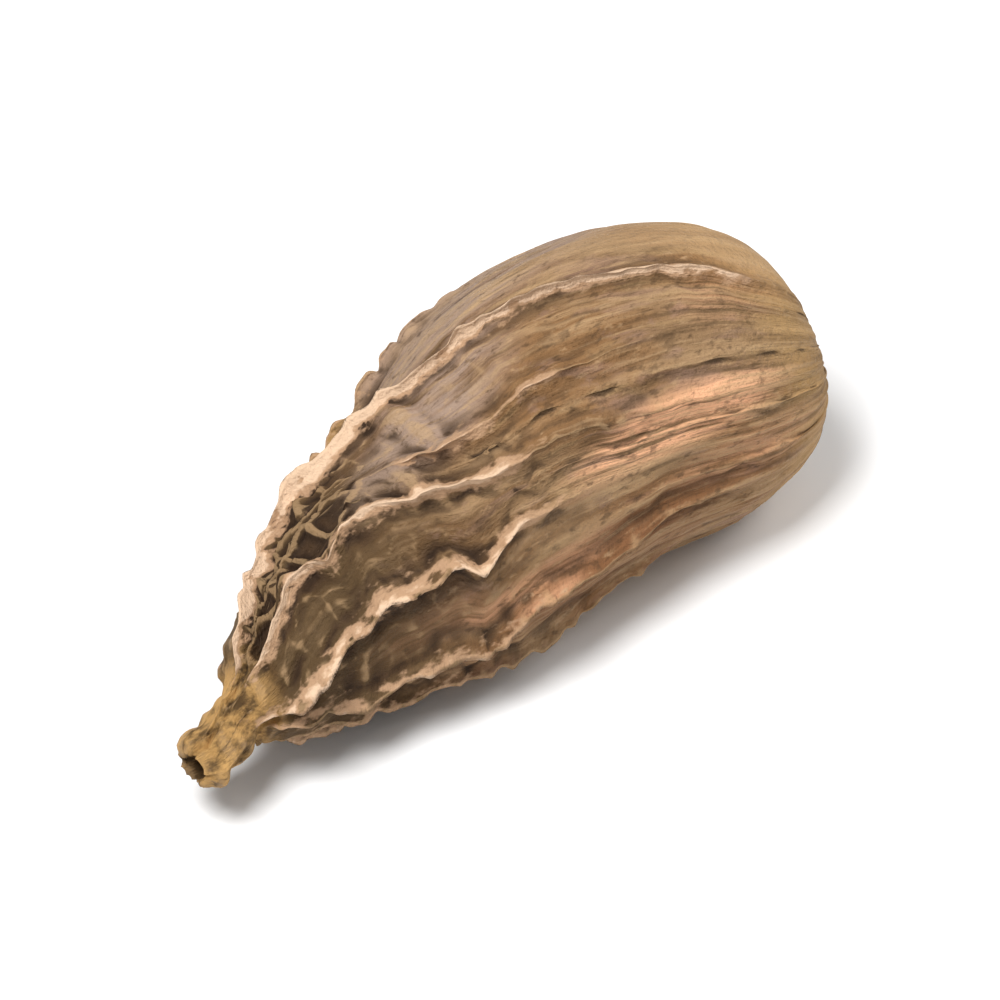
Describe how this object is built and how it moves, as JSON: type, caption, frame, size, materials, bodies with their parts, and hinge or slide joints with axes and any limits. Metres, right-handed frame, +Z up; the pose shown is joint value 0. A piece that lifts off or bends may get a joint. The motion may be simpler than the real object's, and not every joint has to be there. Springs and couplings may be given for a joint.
{
  "type": "black cardamom pod",
  "caption": "Dried brown spice pod with wavy raised crests, a fibrous ribbed husk and a withered flower stub at its apex, lying on its side.",
  "frame": {"origin": "on the surface that the pod lies on, under the middle of its bounding box", "axes": "+X along the pod from the flower stub at the apex to the scar at the base, +Z up from the surface"},
  "size_m": [0.0464, 0.0204, 0.0194],
  "materials": {
    "husk": "matte, dry and fibrous"
  },
  "bodies": {
    "root": {"pod": "husk"}
  },
  "joints": []
}
